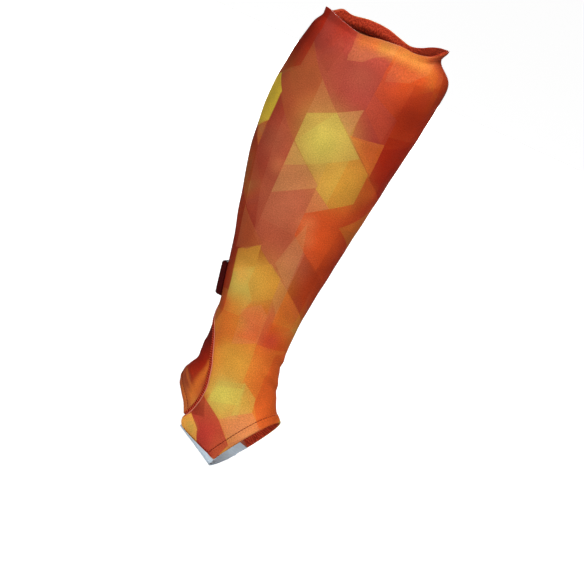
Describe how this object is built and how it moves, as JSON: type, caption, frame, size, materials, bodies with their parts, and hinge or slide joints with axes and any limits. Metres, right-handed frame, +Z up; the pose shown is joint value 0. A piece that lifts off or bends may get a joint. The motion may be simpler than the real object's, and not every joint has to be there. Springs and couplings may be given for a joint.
{
  "type": "shin guard liner",
  "caption": "Stretch sleeve for the lower leg with a raised curved seam at the heel, an open heel and toe end, an elastic strap under the arch and a tab behind the calf.",
  "frame": {"origin": "middle of the ankle inside the sleeve, on the leg's axis, where the leg that wears it holds it", "axes": "+Z up along the leg towards the knee, +X to the front (shin and toes), +Y to the wearer's left"},
  "size_m": [0.1422, 0.1228, 0.4223],
  "materials": {
    "printed_cloth": "smooth stretch knit with a printed triangle mosaic in warm colours and a faint sheen",
    "heel_cloth": "smooth stretch knit, dark red brown to burnt orange",
    "seam_thread": "raised overlocked thread",
    "hem_cloth": "turned-in stretch knit, matt",
    "white_elastic": "ribbed woven elastic",
    "tab_webbing": "dense dark webbing"
  },
  "bodies": {
    "root": {"shin_sleeve": "printed_cloth", "heel_panel": "heel_cloth", "panel_seam": "seam_thread", "top_hem": "hem_cloth", "instep_hem": "hem_cloth", "heel_hem": "hem_cloth", "stirrup_strap": "white_elastic", "back_tab": "tab_webbing"}
  },
  "joints": []
}
